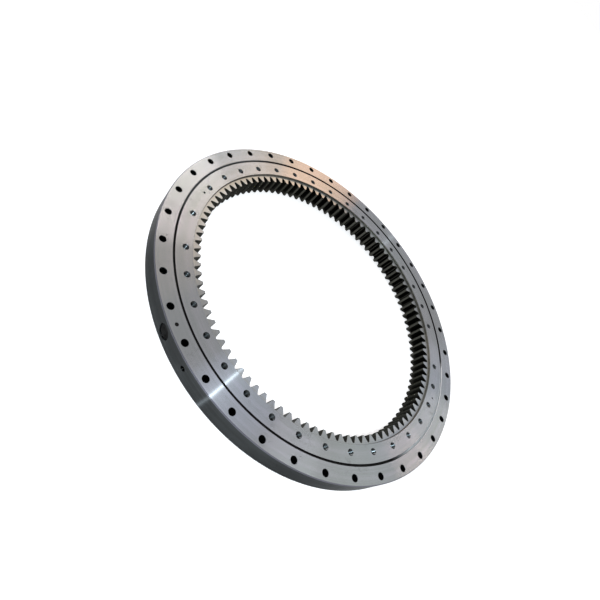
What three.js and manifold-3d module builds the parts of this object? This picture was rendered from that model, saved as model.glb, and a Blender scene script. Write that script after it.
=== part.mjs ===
// Slewing ring bearing of the size that a 20 tonne excavator turns on: one row of balls in four-point
// contact, a plain outer ring drilled for bolts, and an inner ring with the gear cut inside it.
// Millimetres. +Z is the bearing's axis and points up out of the face with the seal that shows. The
// origin is at the centre of the inner ring's lower face, which the bearing stands on.

import * as THREE from "three";
import { mergeVertices } from "three/addons/utils/BufferGeometryUtils.js";
import Module from "manifold-3d";

const wasm = await Module();
wasm.setup();

// Gear: full-depth involute teeth inside the inner ring
const TEETH = 100;
const GEAR_MODULE = 10;
const PRESSURE_ANGLE = THREE.MathUtils.degToRad(20);
const PROFILE_SHIFT = 0.5;
const ROOT_CLEARANCE = 0.25; // of a module
const GEAR_TOP_Z = 67;

// Outer ring, which turns with the machine's upper structure
const OUTER_RADIUS = 643;
const OUTER_BORE_RADIUS = 587;
const OUTER_BOTTOM_Z = 3;
const OUTER_TOP_Z = 77;
const EDGE_CHAMFER = 2.5;
const OUTER_BOLT_CIRCLE_RADIUS = 620;
const OUTER_HOLE_COUNT = 36;
const OUTER_HOLE_RADIUS = 11;

// Inner ring, which is bolted to the track frame
const INNER_RADIUS = 582;
const INNER_TOP_Z = 75.5;
const STEP_RADIUS = 524;
const INNER_BOLT_CIRCLE_RADIUS = 548;
const TAPPED_HOLE_RADIUS = 8.75; // M20 before the thread is cut
const HOLE_GRID_DEG = 10;
const MISSING_HOLES_DEG = [160, 330, 340];
const ODD_HOLE_DEG = 335.4; // one hole stands where two of the grid are left out
const JACKING_HOLE = { deg: 323.8, radius: 4.25, circle: 550.5, depth: 22 };
const WITNESS_DIMPLE = { deg: 134.5, radius: 3, circle: 556, depth: 2.5 };

// Rolling row
const BALL_RADIUS = 19.05;
const BALL_CIRCLE_RADIUS = 584.5;
const BALL_COUNT = 48;
const RACE_Z = 40;
const RACE_GAP = 1; // ball to raceway, which also takes up the facets of the rings
const CAGE_THICKNESS = 2.4;
const CAGE_HALF_HEIGHT = 25;
const POCKET_GAP = 0.6;

// Lip seals
const SEAL_GROOVE_DEPTH = 4;
const SEAL_GROOVE_HEIGHT = 4;
const UPPER_GROOVE_Z = 68.5;
const LOWER_GROOVE_Z = 6.5;
const SEAL_LIP_GAP = 1;
const SEAL_TOP_DEPTH = 2.5;

// Ball loading hole in the outer ring, its plug and the pin that holds it
const LOADING_DEG = 15;
const PLUG_RADIUS = 21.5;
const PLUG_RECESS = 4;
const PIN_TOP_RADIUS = 5;
const PIN_TAPER = 1 / 100; // of its length, on the radius
const PIN_RECESS = 0.8;
const PIN_BOTTOM_Z = 11;

// Grease ports in the outer ring
const PORT_FIRST_DEG = 25;
const PORT_COUNT = 4;
const PORT_Z = 47;
const PORT_RADIUS = 8;
const PORT_DEPTH = 13;
const DUCT_RADIUS = 4.5;

const FIT_GAP = 0.4; // between pieces that touch
const RING_FACETS = 72;
const CAGE_FACETS = 2 * BALL_COUNT;

const STEEL = { color: 0x9a9ca3, roughness: 0.38, metalness: 1 };
const DARK_STEEL = { color: 0x5d6064, roughness: 0.45, metalness: 1 };
const POLISHED_STEEL = { color: 0xc9ccd2, roughness: 0.12, metalness: 1 };
const CAGE_STEEL = { color: 0x8b8d90, roughness: 0.4, metalness: 1 };
const ZINC = { color: 0xb3a878, roughness: 0.4, metalness: 0.9 };
const RUBBER = { color: 0x111214, roughness: 0.7, metalness: 0 };

// ---------- solids ----------

function toSolid(geometry) {
  const bare = geometry.clone();
  bare.deleteAttribute("normal");
  bare.deleteAttribute("uv");
  const merged = mergeVertices(bare);
  const index = merged.index.array;
  const triangles = [];
  for (let i = 0; i < index.length; i += 3) {
    const [a, b, c] = [index[i], index[i + 1], index[i + 2]];
    if (a !== b && b !== c && c !== a) triangles.push(a, b, c);
  }
  return new wasm.Manifold(
    new wasm.Mesh({
      numProp: 3,
      vertProperties: new Float32Array(merged.attributes.position.array),
      triVerts: new Uint32Array(triangles),
    }),
  );
}

function toGeometry(solid) {
  const mesh = solid.getMesh();
  const geometry = new THREE.BufferGeometry();
  geometry.setAttribute("position", new THREE.BufferAttribute(mesh.vertProperties, 3));
  geometry.setIndex(new THREE.BufferAttribute(mesh.triVerts, 1));
  geometry.computeVertexNormals();
  return geometry;
}

function cutAway(geometry, cutters) {
  let solid = toSolid(geometry);
  for (const cutter of cutters) solid = solid.subtract(toSolid(cutter));
  return toGeometry(solid);
}

// A profile of [radius, height] points turned about Z. It runs anticlockwise and closes on itself,
// unless its ends lie on the axis.
function turned(profile, facets) {
  const points = profile.map(([r, z]) => new THREE.Vector2(r, z));
  if (profile[0][0] !== 0) points.push(points[0].clone());
  return new THREE.LatheGeometry(points, facets).rotateX(Math.PI / 2);
}

// A round bar standing along Z at a bearing angle and circle.
function uprightBar(radius, bottomZ, topZ, deg, circle, sides = 12, taper = 0) {
  const length = topZ - bottomZ;
  return new THREE.CylinderGeometry(radius, radius - taper * length, length, sides)
    .rotateX(Math.PI / 2)
    .translate(circle, 0, (topZ + bottomZ) / 2)
    .rotateZ(THREE.MathUtils.degToRad(deg));
}

// A round bar lying along a radius of the bearing, between two distances from the axis.
function radialBar(radius, from, to, deg, z, sides = 16) {
  return new THREE.CylinderGeometry(radius, radius, to - from, sides)
    .rotateZ(-Math.PI / 2)
    .translate((from + to) / 2, 0, z)
    .rotateZ(THREE.MathUtils.degToRad(deg));
}

// ---------- raceways ----------

// Half of an octagon drawn round the ball, from the lower edge of the groove to the upper one. side is
// +1 for the groove in the outer ring and -1 for the one in the inner ring.
function raceway(landRadius, side) {
  const apothem = BALL_RADIUS + RACE_GAP;
  const corner = apothem / Math.cos(Math.PI / 8);
  const diagonal = corner * Math.SQRT1_2;
  const landOffset = Math.abs(landRadius - BALL_CIRCLE_RADIUS);
  const edge = corner - landOffset * Math.tan(Math.PI / 8);
  return [
    [landRadius, RACE_Z - edge],
    [BALL_CIRCLE_RADIUS + side * diagonal, RACE_Z - diagonal],
    [BALL_CIRCLE_RADIUS + side * corner, RACE_Z],
    [BALL_CIRCLE_RADIUS + side * diagonal, RACE_Z + diagonal],
    [landRadius, RACE_Z + edge],
  ];
}

// ---------- outer ring ----------

function outerRing() {
  const grooveRadius = OUTER_BORE_RADIUS + SEAL_GROOVE_DEPTH;
  const profile = [
    [OUTER_BORE_RADIUS, OUTER_BOTTOM_Z],
    [OUTER_RADIUS - EDGE_CHAMFER, OUTER_BOTTOM_Z],
    [OUTER_RADIUS, OUTER_BOTTOM_Z + EDGE_CHAMFER],
    [OUTER_RADIUS, OUTER_TOP_Z - EDGE_CHAMFER],
    [OUTER_RADIUS - EDGE_CHAMFER, OUTER_TOP_Z],
    [OUTER_BORE_RADIUS, OUTER_TOP_Z],
    [OUTER_BORE_RADIUS, UPPER_GROOVE_Z + SEAL_GROOVE_HEIGHT],
    [grooveRadius, UPPER_GROOVE_Z + SEAL_GROOVE_HEIGHT],
    [grooveRadius, UPPER_GROOVE_Z],
    [OUTER_BORE_RADIUS, UPPER_GROOVE_Z],
    ...raceway(OUTER_BORE_RADIUS, 1).reverse(),
  ];
  const past = 10;
  const cutters = [];
  for (let i = 0; i < OUTER_HOLE_COUNT; i++) {
    const deg = (360 / OUTER_HOLE_COUNT) * i;
    cutters.push(
      uprightBar(OUTER_HOLE_RADIUS, -past, OUTER_TOP_Z + past, deg, OUTER_BOLT_CIRCLE_RADIUS),
    );
  }
  cutters.push(
    radialBar(PLUG_RADIUS + FIT_GAP, BALL_CIRCLE_RADIUS, OUTER_RADIUS + past, LOADING_DEG, RACE_Z, 24),
    uprightBar(
      PIN_TOP_RADIUS + FIT_GAP,
      PIN_BOTTOM_Z - FIT_GAP,
      OUTER_TOP_Z + past,
      LOADING_DEG,
      OUTER_BOLT_CIRCLE_RADIUS,
    ),
  );
  for (const deg of portAngles()) {
    cutters.push(
      radialBar(PORT_RADIUS, OUTER_RADIUS - PORT_DEPTH, OUTER_RADIUS + past, deg, PORT_Z, 12),
      radialBar(DUCT_RADIUS, BALL_CIRCLE_RADIUS, OUTER_RADIUS, deg, PORT_Z, 8),
    );
  }
  return cutAway(turned(profile, RING_FACETS), cutters);
}

// ---------- inner ring and its gear ----------

function involute(radius) {
  const baseRadius = (GEAR_MODULE * TEETH * Math.cos(PRESSURE_ANGLE)) / 2;
  const angle = Math.acos(baseRadius / radius);
  return Math.tan(angle) - angle;
}

// The outline of all the tooth spaces together, which is a gear wheel. Each space has a straight
// bottom, and a point at the middle of each flank.
function toothSpaces() {
  const pitchRadius = (GEAR_MODULE * TEETH) / 2;
  const tipRadius = pitchRadius + GEAR_MODULE * (PROFILE_SHIFT - 1);
  const rootRadius = pitchRadius + GEAR_MODULE * (PROFILE_SHIFT + 1 + ROOT_CLEARANCE);
  const pitchHalfAngle = (Math.PI / 2 + 2 * PROFILE_SHIFT * Math.tan(PRESSURE_ANGLE)) / TEETH;
  const halfAngle = (r) =>
    pitchHalfAngle + Math.tan(PRESSURE_ANGLE) - PRESSURE_ANGLE - involute(r);
  const flank = [tipRadius, (tipRadius + rootRadius) / 2, rootRadius];
  const outline = new THREE.Shape();
  const points = [];
  for (let i = 0; i < TEETH; i++) {
    const middle = (2 * Math.PI * i) / TEETH;
    for (const r of flank) points.push([r, middle - halfAngle(r)]);
    for (const r of flank.toReversed()) points.push([r, middle + halfAngle(r)]);
  }
  outline.setFromPoints(
    points.map(([r, angle]) => new THREE.Vector2(r * Math.cos(angle), r * Math.sin(angle))),
  );
  return outline;
}

function innerGearRing() {
  const grooveRadius = INNER_RADIUS - SEAL_GROOVE_DEPTH;
  const blankRadius = (GEAR_MODULE * (TEETH - 4)) / 2;
  const profile = [
    [blankRadius, 0],
    [INNER_RADIUS, 0],
    [INNER_RADIUS, LOWER_GROOVE_Z],
    [grooveRadius, LOWER_GROOVE_Z],
    [grooveRadius, LOWER_GROOVE_Z + SEAL_GROOVE_HEIGHT],
    [INNER_RADIUS, LOWER_GROOVE_Z + SEAL_GROOVE_HEIGHT],
    ...raceway(INNER_RADIUS, -1),
    [INNER_RADIUS, INNER_TOP_Z],
    [STEP_RADIUS, INNER_TOP_Z],
    [STEP_RADIUS, GEAR_TOP_Z],
    [blankRadius, GEAR_TOP_Z],
  ];
  const past = 10;
  const gearCutter = new THREE.ExtrudeGeometry(toothSpaces(), {
    depth: GEAR_TOP_Z + 2 * past,
    bevelEnabled: false,
  }).translate(0, 0, -past);
  const cutters = [gearCutter];
  for (const deg of innerHoleAngles()) {
    cutters.push(
      uprightBar(TAPPED_HOLE_RADIUS, -past, INNER_TOP_Z + past, deg, INNER_BOLT_CIRCLE_RADIUS, 10),
    );
  }
  for (const hole of [JACKING_HOLE, WITNESS_DIMPLE]) {
    cutters.push(
      uprightBar(hole.radius, INNER_TOP_Z - hole.depth, INNER_TOP_Z + past, hole.deg, hole.circle, 8),
    );
  }
  return cutAway(turned(profile, RING_FACETS), cutters);
}

function innerHoleAngles() {
  const angles = [ODD_HOLE_DEG];
  for (let deg = 0; deg < 360; deg += HOLE_GRID_DEG) {
    if (!MISSING_HOLES_DEG.includes(deg)) angles.push(deg);
  }
  return angles;
}

// ---------- balls and cage ----------

function ball() {
  return new THREE.IcosahedronGeometry(BALL_RADIUS, 1);
}

// A thin strip bent into a ring, with a round window for each ball.
function ballCage() {
  const inside = BALL_CIRCLE_RADIUS - CAGE_THICKNESS / 2;
  const outside = BALL_CIRCLE_RADIUS + CAGE_THICKNESS / 2;
  const profile = [
    [inside, RACE_Z - CAGE_HALF_HEIGHT],
    [outside, RACE_Z - CAGE_HALF_HEIGHT],
    [outside, RACE_Z + CAGE_HALF_HEIGHT],
    [inside, RACE_Z + CAGE_HALF_HEIGHT],
  ];
  const sides = 8;
  const past = 10;
  const windowRadius = (BALL_RADIUS + POCKET_GAP) / Math.cos(Math.PI / sides);
  const windows = [];
  for (let i = 0; i < BALL_COUNT; i++) {
    const deg = (360 / BALL_COUNT) * i;
    windows.push(radialBar(windowRadius, inside - past, outside + past, deg, RACE_Z, sides));
  }
  return cutAway(turned(profile, CAGE_FACETS), windows);
}

// ---------- seals ----------

// Held in the outer ring's upper groove, with its lip against the inner ring.
function upperSeal() {
  const bottom = UPPER_GROOVE_Z + FIT_GAP;
  const top = UPPER_GROOVE_Z + SEAL_GROOVE_HEIGHT - FIT_GAP;
  const root = OUTER_BORE_RADIUS + SEAL_GROOVE_DEPTH - FIT_GAP;
  const lip = INNER_RADIUS + SEAL_LIP_GAP;
  return turned(
    [
      [OUTER_BORE_RADIUS - 1, bottom],
      [root, bottom],
      [root, top],
      [OUTER_BORE_RADIUS - 1, top],
      [OUTER_BORE_RADIUS - 1, INNER_TOP_Z - SEAL_TOP_DEPTH],
      [lip, INNER_TOP_Z - SEAL_TOP_DEPTH],
    ],
    RING_FACETS,
  );
}

// Held in the inner ring's lower groove, with its lip against the outer ring.
function lowerSeal() {
  const bottom = LOWER_GROOVE_Z + FIT_GAP;
  const top = LOWER_GROOVE_Z + SEAL_GROOVE_HEIGHT - FIT_GAP;
  const root = INNER_RADIUS - SEAL_GROOVE_DEPTH + FIT_GAP;
  const lip = OUTER_BORE_RADIUS - SEAL_LIP_GAP;
  return turned(
    [
      [root, bottom],
      [INNER_RADIUS + 0.5, bottom],
      [INNER_RADIUS + 0.5, bottom - 1.5],
      [lip, bottom - 1.5],
      [INNER_RADIUS + 1.5, top],
      [root, top],
    ],
    RING_FACETS,
  );
}

// ---------- loading plug, pin and grease nipples ----------

// The plug's inner end is cut to the raceway, and the pin goes down through it.
function loadingPlug() {
  const groove = [
    ...raceway(OUTER_BORE_RADIUS, 1),
    [BALL_CIRCLE_RADIUS - BALL_RADIUS, RACE_Z + BALL_RADIUS],
    [BALL_CIRCLE_RADIUS - BALL_RADIUS, RACE_Z - BALL_RADIUS],
  ];
  const body = radialBar(
    PLUG_RADIUS,
    OUTER_BORE_RADIUS,
    OUTER_RADIUS - PLUG_RECESS,
    LOADING_DEG,
    RACE_Z,
    24,
  );
  const pinHole = uprightBar(
    PIN_TOP_RADIUS + FIT_GAP,
    0,
    OUTER_TOP_Z,
    LOADING_DEG,
    OUTER_BOLT_CIRCLE_RADIUS,
  );
  return cutAway(body, [turned(groove, RING_FACETS), pinHole]);
}

function taperPin() {
  return uprightBar(
    PIN_TOP_RADIUS,
    PIN_BOTTOM_Z,
    OUTER_TOP_Z - PIN_RECESS,
    LOADING_DEG,
    OUTER_BOLT_CIRCLE_RADIUS,
    12,
    PIN_TAPER,
  );
}

function portAngles() {
  const angles = [];
  for (let i = 0; i < PORT_COUNT; i++) angles.push(PORT_FIRST_DEG + (360 / PORT_COUNT) * i);
  return angles;
}

// A button-head nipple, drawn standing on its seat at z = 0 with its shank below.
function greaseNipple() {
  const shankRadius = DUCT_RADIUS - 0.8;
  const flangeRadius = 6;
  return turned(
    [
      [0, -9],
      [shankRadius, -9],
      [shankRadius, 0],
      [flangeRadius, 0],
      [flangeRadius, 4],
      [2.6, 5],
      [2.2, 7.5],
      [3.3, 8.5],
      [2.2, 10.5],
      [0, 10.5],
    ],
    10,
  );
}

// ---------- assembly ----------

const bearing = new THREE.Group();

function addPiece(name, geometry, finish) {
  const piece = new THREE.Mesh(geometry, new THREE.MeshStandardMaterial(finish));
  piece.name = name;
  bearing.add(piece);
  return piece;
}

addPiece("outer_ring", outerRing(), STEEL);
addPiece("inner_gear_ring", innerGearRing(), STEEL);
addPiece("ball_cage", ballCage(), CAGE_STEEL);
addPiece("upper_seal", upperSeal(), RUBBER);
addPiece("lower_seal", lowerSeal(), RUBBER);
addPiece("loading_plug", loadingPlug(), DARK_STEEL);
addPiece("plug_taper_pin", taperPin(), DARK_STEEL);

for (let i = 0; i < BALL_COUNT; i++) {
  const angle = (2 * Math.PI * i) / BALL_COUNT;
  const number = String(i + 1).padStart(2, "0");
  const piece = addPiece(`ball_${number}`, ball(), POLISHED_STEEL);
  piece.position.set(
    BALL_CIRCLE_RADIUS * Math.cos(angle),
    BALL_CIRCLE_RADIUS * Math.sin(angle),
    RACE_Z,
  );
  piece.rotation.z = angle;
}

portAngles().forEach((deg, i) => {
  const angle = THREE.MathUtils.degToRad(deg);
  const seat = OUTER_RADIUS - PORT_DEPTH + FIT_GAP;
  const piece = addPiece(`grease_nipple_${i + 1}`, greaseNipple(), ZINC);
  piece.position.set(seat * Math.cos(angle), seat * Math.sin(angle), PORT_Z);
  piece.rotation.set(0, Math.PI / 2, angle, "ZYX");
});

export default bearing;
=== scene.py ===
"""A slewing ring bearing in bare turned steel, in a white studio.

The rings, rolling row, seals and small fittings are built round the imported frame, in metres, with +Z up
along the bearing's axis. Angles are bearing angles, from +X towards +Y. Each piece stands for its CAD node
and rides on that node's body.
"""

import math

import bmesh
import bpy
from mathutils import Matrix, Vector


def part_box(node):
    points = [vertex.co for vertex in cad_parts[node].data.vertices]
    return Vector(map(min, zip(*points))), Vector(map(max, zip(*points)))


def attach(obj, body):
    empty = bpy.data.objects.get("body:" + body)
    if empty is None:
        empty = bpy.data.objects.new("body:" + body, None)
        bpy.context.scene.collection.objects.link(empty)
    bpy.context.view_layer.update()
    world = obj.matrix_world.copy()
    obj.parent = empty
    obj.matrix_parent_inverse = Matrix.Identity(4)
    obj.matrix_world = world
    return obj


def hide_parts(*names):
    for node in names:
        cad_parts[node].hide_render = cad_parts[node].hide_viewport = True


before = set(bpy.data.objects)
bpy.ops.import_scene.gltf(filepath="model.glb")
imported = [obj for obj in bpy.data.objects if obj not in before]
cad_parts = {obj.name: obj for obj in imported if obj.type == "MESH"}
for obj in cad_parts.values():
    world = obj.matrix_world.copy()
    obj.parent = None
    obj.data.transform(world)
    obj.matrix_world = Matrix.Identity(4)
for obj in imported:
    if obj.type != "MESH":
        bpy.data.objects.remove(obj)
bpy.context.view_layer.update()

MM = 0.001
MICRON = 0.001 * MM
TAU = 2 * math.pi

# ---------- sizes ----------

# From the frame
RING_LOW, RING_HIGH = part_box("outer_ring")
OUTER_RADIUS = RING_HIGH.x
OUTER_TOP_Z = RING_HIGH.z
OUTER_BOTTOM_Z = RING_LOW.z
INNER_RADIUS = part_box("inner_gear_ring")[1].x
INNER_TOP_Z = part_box("inner_gear_ring")[1].z
BALL_LOW, BALL_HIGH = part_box("ball_01")
BALL_CIRCLE_RADIUS = (BALL_LOW.x + BALL_HIGH.x) / 2
RACE_Z = (BALL_LOW.z + BALL_HIGH.z) / 2
BALL_COUNT = sum(name.startswith("ball_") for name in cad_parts) - 1

# Rings
OUTER_BORE_RADIUS = 587 * MM
OUTER_BOLT_CIRCLE = 620 * MM
OUTER_HOLE_RADIUS = 11 * MM
OUTER_HOLE_COUNT = 36
EDGE_CHAMFER = 2.5 * MM
EDGE_BREAK = 0.6 * MM
GAP_CHAMFER = 1.5 * MM
SMALL_HOLE_BREAK = 0.4 * MM
STEP_RADIUS = 524 * MM
STEP_FILLET = 1.5 * MM
INNER_BOLT_CIRCLE = 548 * MM
THREAD_MAJOR_RADIUS = 10 * MM
THREAD_MINOR_RADIUS = 8.7 * MM
THREAD_PITCH = 2.5 * MM
PILOT_RADIUS = 8 * MM
HOLE_GRID_DEG = 10
MISSING_HOLES_DEG = (160, 330, 340)
ODD_HOLE_DEG = 335.4
JACKING_HOLE = dict(deg=323.8, radius=4.25 * MM, circle=550.5 * MM, depth=22 * MM)
WITNESS_DIMPLE = dict(deg=134.5, radius=3 * MM, circle=556 * MM, depth=2.5 * MM)

# Gear
TEETH = 100
MODULE = 10 * MM
PRESSURE_ANGLE = math.radians(20)
PROFILE_SHIFT = 0.5
ROOT_CLEARANCE = 0.25
GEAR_TOP_Z = 67 * MM
PITCH_RADIUS = MODULE * TEETH / 2
TIP_RADIUS = PITCH_RADIUS + MODULE * (PROFILE_SHIFT - 1)
ROOT_RADIUS = PITCH_RADIUS + MODULE * (PROFILE_SHIFT + 1 + ROOT_CLEARANCE)
ROOT_FILLET = 4.1 * MM
FLANK_END_DEG = 24.4  # where round the root fillet the flank runs into it
TOOTH_END_BREAK = 0.9 * MM
TIP_BREAK = 0.5 * MM
BLANK_RADIUS = TIP_RADIUS - 15 * MM

# Rolling row and seals
BALL_RADIUS = 19.05 * MM
RACE_RADIUS = 1.05 * BALL_RADIUS
RACE_CLEARANCE = 0.1 * MM
CAGE_THICKNESS = 2.4 * MM
CAGE_HALF_HEIGHT = 25 * MM
CAGE_ROUNDING = 0.5 * MM
CAGE_WINDOW_RADIUS = BALL_RADIUS + 0.6 * MM
CAGE_WINDOW_BREAK = 0.3 * MM
GROOVE_DEPTH = 4 * MM
GROOVE_HEIGHT = 4 * MM
UPPER_GROOVE_Z = 68.5 * MM
LOWER_GROOVE_Z = 6.5 * MM
SEAL_FIT = 0.4 * MM
SEAL_TOP_DEPTH = 2.5 * MM  # under the inner ring's top face
LOWER_SEAL_DROP = 1.5 * MM  # from its tongue to its open face
LIP_CLEARANCE = 0.15 * MM

# Loading plug and ports
LOADING_DEG = 15
PLUG_RADIUS = 21.5 * MM
PLUG_RECESS = 4 * MM
LOADING_CLEARANCE = 0.4 * MM
LOADING_CHAMFER = 2 * MM
PIN_RADIUS = 5 * MM
PIN_CLEARANCE = 0.3 * MM
PIN_HOLE_BREAK = 0.5 * MM
PIN_TAPER = 1 / 100
PIN_RECESS = 0.8 * MM
PIN_BOTTOM_Z = 11 * MM
PIN_END_GAP = 0.4 * MM
PORT_DEGS = (25, 115, 205, 295)
PORT_Z = 47 * MM
PORT_RADIUS = 8 * MM
PORT_DEPTH = 13 * MM
DUCT_RADIUS = 4.5 * MM

PAST = 6 * MM  # how far a cutter runs past the face that it cuts
ON_AXIS = 1e-9  # the radius under which a profile's point lies on its axis
RING_SEGMENTS = 720
PLUG_SEGMENTS = 96
WINDOW_SEGMENTS = 64
HOLE_SEGMENTS = 48
NIPPLE_SEGMENTS = 48
PORT_SEGMENTS = 40
PIN_SEGMENTS = 40
SMALL_HOLE_SEGMENTS = 32


# ---------- mesh tools ----------

def new_object(name, verts, faces):
    mesh = bpy.data.meshes.new(name)
    mesh.from_pydata(verts, [], faces)
    mesh.update()
    obj = bpy.data.objects.new(name, mesh)
    bpy.context.scene.collection.objects.link(obj)
    return obj


def turned(name, profile, segments=RING_SEGMENTS, matrix=None):
    """A closed [radius, height] profile, anticlockwise, turned about Z; ends on the axis become poles."""
    verts, faces, rows = [], [], []
    for r, z in profile:
        if r < ON_AXIS:
            rows.append([len(verts)] * segments)
            verts.append((0, 0, z))
            continue
        rows.append([len(verts) + i for i in range(segments)])
        for i in range(segments):
            a = TAU * i / segments
            verts.append((r * math.cos(a), r * math.sin(a), z))
    pairs = list(zip(rows, rows[1:]))
    if profile[0][0] >= ON_AXIS:
        pairs.append((rows[-1], rows[0]))
    for low, high in pairs:
        for i in range(segments):
            j = (i + 1) % segments
            face = list(dict.fromkeys((low[i], low[j], high[j], high[i])))
            if len(face) > 2:
                faces.append(face)
    if matrix is not None:
        verts = [matrix @ Vector(v) for v in verts]
    return new_object(name, verts, faces)


def prism(name, rings):
    """A closed solid through rings of the same number of points, lowest first."""
    count = len(rings[0])
    verts = [v for ring in rings for v in ring]
    faces = [list(range(count))[::-1], [len(verts) - count + i for i in range(count)]]
    for k in range(len(rings) - 1):
        for i in range(count):
            j = (i + 1) % count
            faces.append((k * count + i, k * count + j, (k + 1) * count + j, (k + 1) * count + i))
    return new_object(name, verts, faces)


def arc(centre, radius, start_deg, end_deg, steps):
    """Points on an arc in a profile."""
    points = []
    for i in range(steps + 1):
        a = math.radians(start_deg + (end_deg - start_deg) * i / steps)
        points.append((centre[0] + radius * math.cos(a), centre[1] + radius * math.sin(a)))
    return points


def joined(name, objects):
    """One object from several, which are used up."""
    mesh = bmesh.new()
    for obj in objects:
        mesh.from_mesh(obj.data)
        bpy.data.objects.remove(obj)
    data = bpy.data.meshes.new(name)
    mesh.to_mesh(data)
    mesh.free()
    out = bpy.data.objects.new(name, data)
    bpy.context.scene.collection.objects.link(out)
    return out


def cut(obj, cutters):
    """Takes cutters, which don't overlap each other, away from obj. The cutters are used up."""
    tool = joined("cutter", cutters)
    bpy.context.view_layer.update()
    modifier = obj.modifiers.new("cut", "BOOLEAN")
    modifier.operation = "DIFFERENCE"
    modifier.solver = "MANIFOLD"
    modifier.object = tool
    baked = bpy.data.meshes.new_from_object(obj.evaluated_get(bpy.context.evaluated_depsgraph_get()))
    baked.materials.clear()
    obj.modifiers.clear()
    obj.data = baked
    bpy.data.objects.remove(tool)


def finished(obj, edge_deg=32):
    """Smooth shading with sharp edges where the surface turns by more than edge_deg."""
    obj.data.shade_smooth()
    obj.data.set_sharp_from_angle(angle=math.radians(edge_deg))
    return obj


def at_angle(deg, circle=0.0, z=0.0):
    """From upright at the origin to a bearing angle, circle and height."""
    return Matrix.Rotation(math.radians(deg), 4, "Z") @ Matrix.Translation((circle, 0, z))


def along_radius(deg, z):
    """From along +Z to along the bearing's radius: local height becomes distance from the axis."""
    return at_angle(deg, 0, z) @ Matrix.Rotation(math.radians(90), 4, "Y")


def bar_profile(radius, low, high):
    """A plain round bar."""
    return [(0, low), (radius, low), (radius, high), (0, high)]


def blind_profile(radius, bottom, mouth, chamfer, point=0.0):
    """A blind hole's cutter, flared where it leaves the face. point is how deep its drill point is."""
    return [
        (0, bottom - point),
        (radius, bottom),
        (radius, mouth - chamfer),
        (radius + chamfer + PAST, mouth + PAST),
        (0, mouth + PAST),
    ]


def drill_profile(radius, low, high, countersink):
    """A through hole's cutter, flared where it leaves both faces."""
    flare = countersink + PAST
    return [
        (0, low - PAST),
        (radius + flare, low - PAST),
        (radius, low + countersink),
        (radius, high - countersink),
        (radius + flare, high + PAST),
        (0, high + PAST),
    ]


# ---------- rings ----------

def race_arc(side, steps=10):
    """The gothic arch, from its lower edge to its upper one.

    side is +1 in the outer ring and -1 in the inner one.
    """
    land = (OUTER_BORE_RADIUS if side > 0 else INNER_RADIUS) - BALL_CIRCLE_RADIUS
    offset = (RACE_RADIUS - BALL_RADIUS) * math.sqrt(0.5)
    radius = RACE_RADIUS + RACE_CLEARANCE
    edge = math.degrees(math.acos((abs(land) + offset) / radius))
    middle = math.degrees(math.asin(offset / radius))
    lower, upper = [], []
    for x, z in arc((-offset, offset), radius, -edge, -middle, steps):
        lower.append((BALL_CIRCLE_RADIUS + side * x, RACE_Z + z))
    for x, z in arc((-offset, -offset), radius, middle, edge, steps):
        upper.append((BALL_CIRCLE_RADIUS + side * x, RACE_Z + z))
    return lower + upper


def outer_ring():
    top, bottom = OUTER_TOP_Z, OUTER_BOTTOM_Z
    bore, rim = OUTER_BORE_RADIUS, OUTER_RADIUS
    groove = bore + GROOVE_DEPTH
    corner = EDGE_CHAMFER  # a bevel that eases into the wall
    profile = [
        (bore, bottom + EDGE_BREAK), (bore + EDGE_BREAK, bottom),
        (rim - corner, bottom), (rim - 0.2 * corner, bottom + 0.8 * corner), (rim, bottom + 1.4 * corner),
        (rim, bottom + 1.6 * corner), (rim, top - 1.6 * corner),
        (rim, top - 1.4 * corner), (rim - 0.2 * corner, top - 0.8 * corner), (rim - corner, top),
        (bore + GAP_CHAMFER, top), (bore, top - GAP_CHAMFER),
        (bore, UPPER_GROOVE_Z + GROOVE_HEIGHT), (groove, UPPER_GROOVE_Z + GROOVE_HEIGHT),
        (groove, UPPER_GROOVE_Z), (bore, UPPER_GROOVE_Z),
        *reversed(race_arc(1)),
    ]
    ring = turned("outer_ring_turned", profile)
    hole = drill_profile(OUTER_HOLE_RADIUS, bottom, top, EDGE_BREAK)
    cutters = []
    for i in range(OUTER_HOLE_COUNT):
        place_at = at_angle(360 / OUTER_HOLE_COUNT * i, OUTER_BOLT_CIRCLE)
        cutters.append(turned("drill", hole, HOLE_SEGMENTS, place_at))
    seat = rim - PORT_DEPTH
    duct = [(0, BALL_CIRCLE_RADIUS), (DUCT_RADIUS, BALL_CIRCLE_RADIUS), (DUCT_RADIUS, seat)]
    port = duct + blind_profile(PORT_RADIUS, seat, rim, EDGE_BREAK)[1:]
    for deg in PORT_DEGS:
        cutters.append(turned("port", port, PORT_SEGMENTS, along_radius(deg, PORT_Z)))
    loading = blind_profile(PLUG_RADIUS + LOADING_CLEARANCE, BALL_CIRCLE_RADIUS, rim, LOADING_CHAMFER)
    cutters.append(turned("loading_hole", loading, PLUG_SEGMENTS, along_radius(LOADING_DEG, RACE_Z)))
    cut(ring, cutters)
    pin_end = PIN_BOTTOM_Z - PIN_END_GAP
    pin_hole = blind_profile(PIN_RADIUS + PIN_CLEARANCE, pin_end, top, PIN_HOLE_BREAK)
    cut(ring, [turned("pin_hole", pin_hole, PIN_SEGMENTS, at_angle(LOADING_DEG, OUTER_BOLT_CIRCLE))])
    return finished(ring)


def involute(radius):
    angle = math.acos(PITCH_RADIUS * math.cos(PRESSURE_ANGLE) / radius)
    return math.tan(angle) - angle


def space_half_angle(radius):
    """Half the angle that a tooth space takes up at a radius."""
    pitch_half = (math.pi / 2 + 2 * PROFILE_SHIFT * math.tan(PRESSURE_ANGLE)) / TEETH
    return pitch_half + math.tan(PRESSURE_ANGLE) - PRESSURE_ANGLE - involute(radius)


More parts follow.
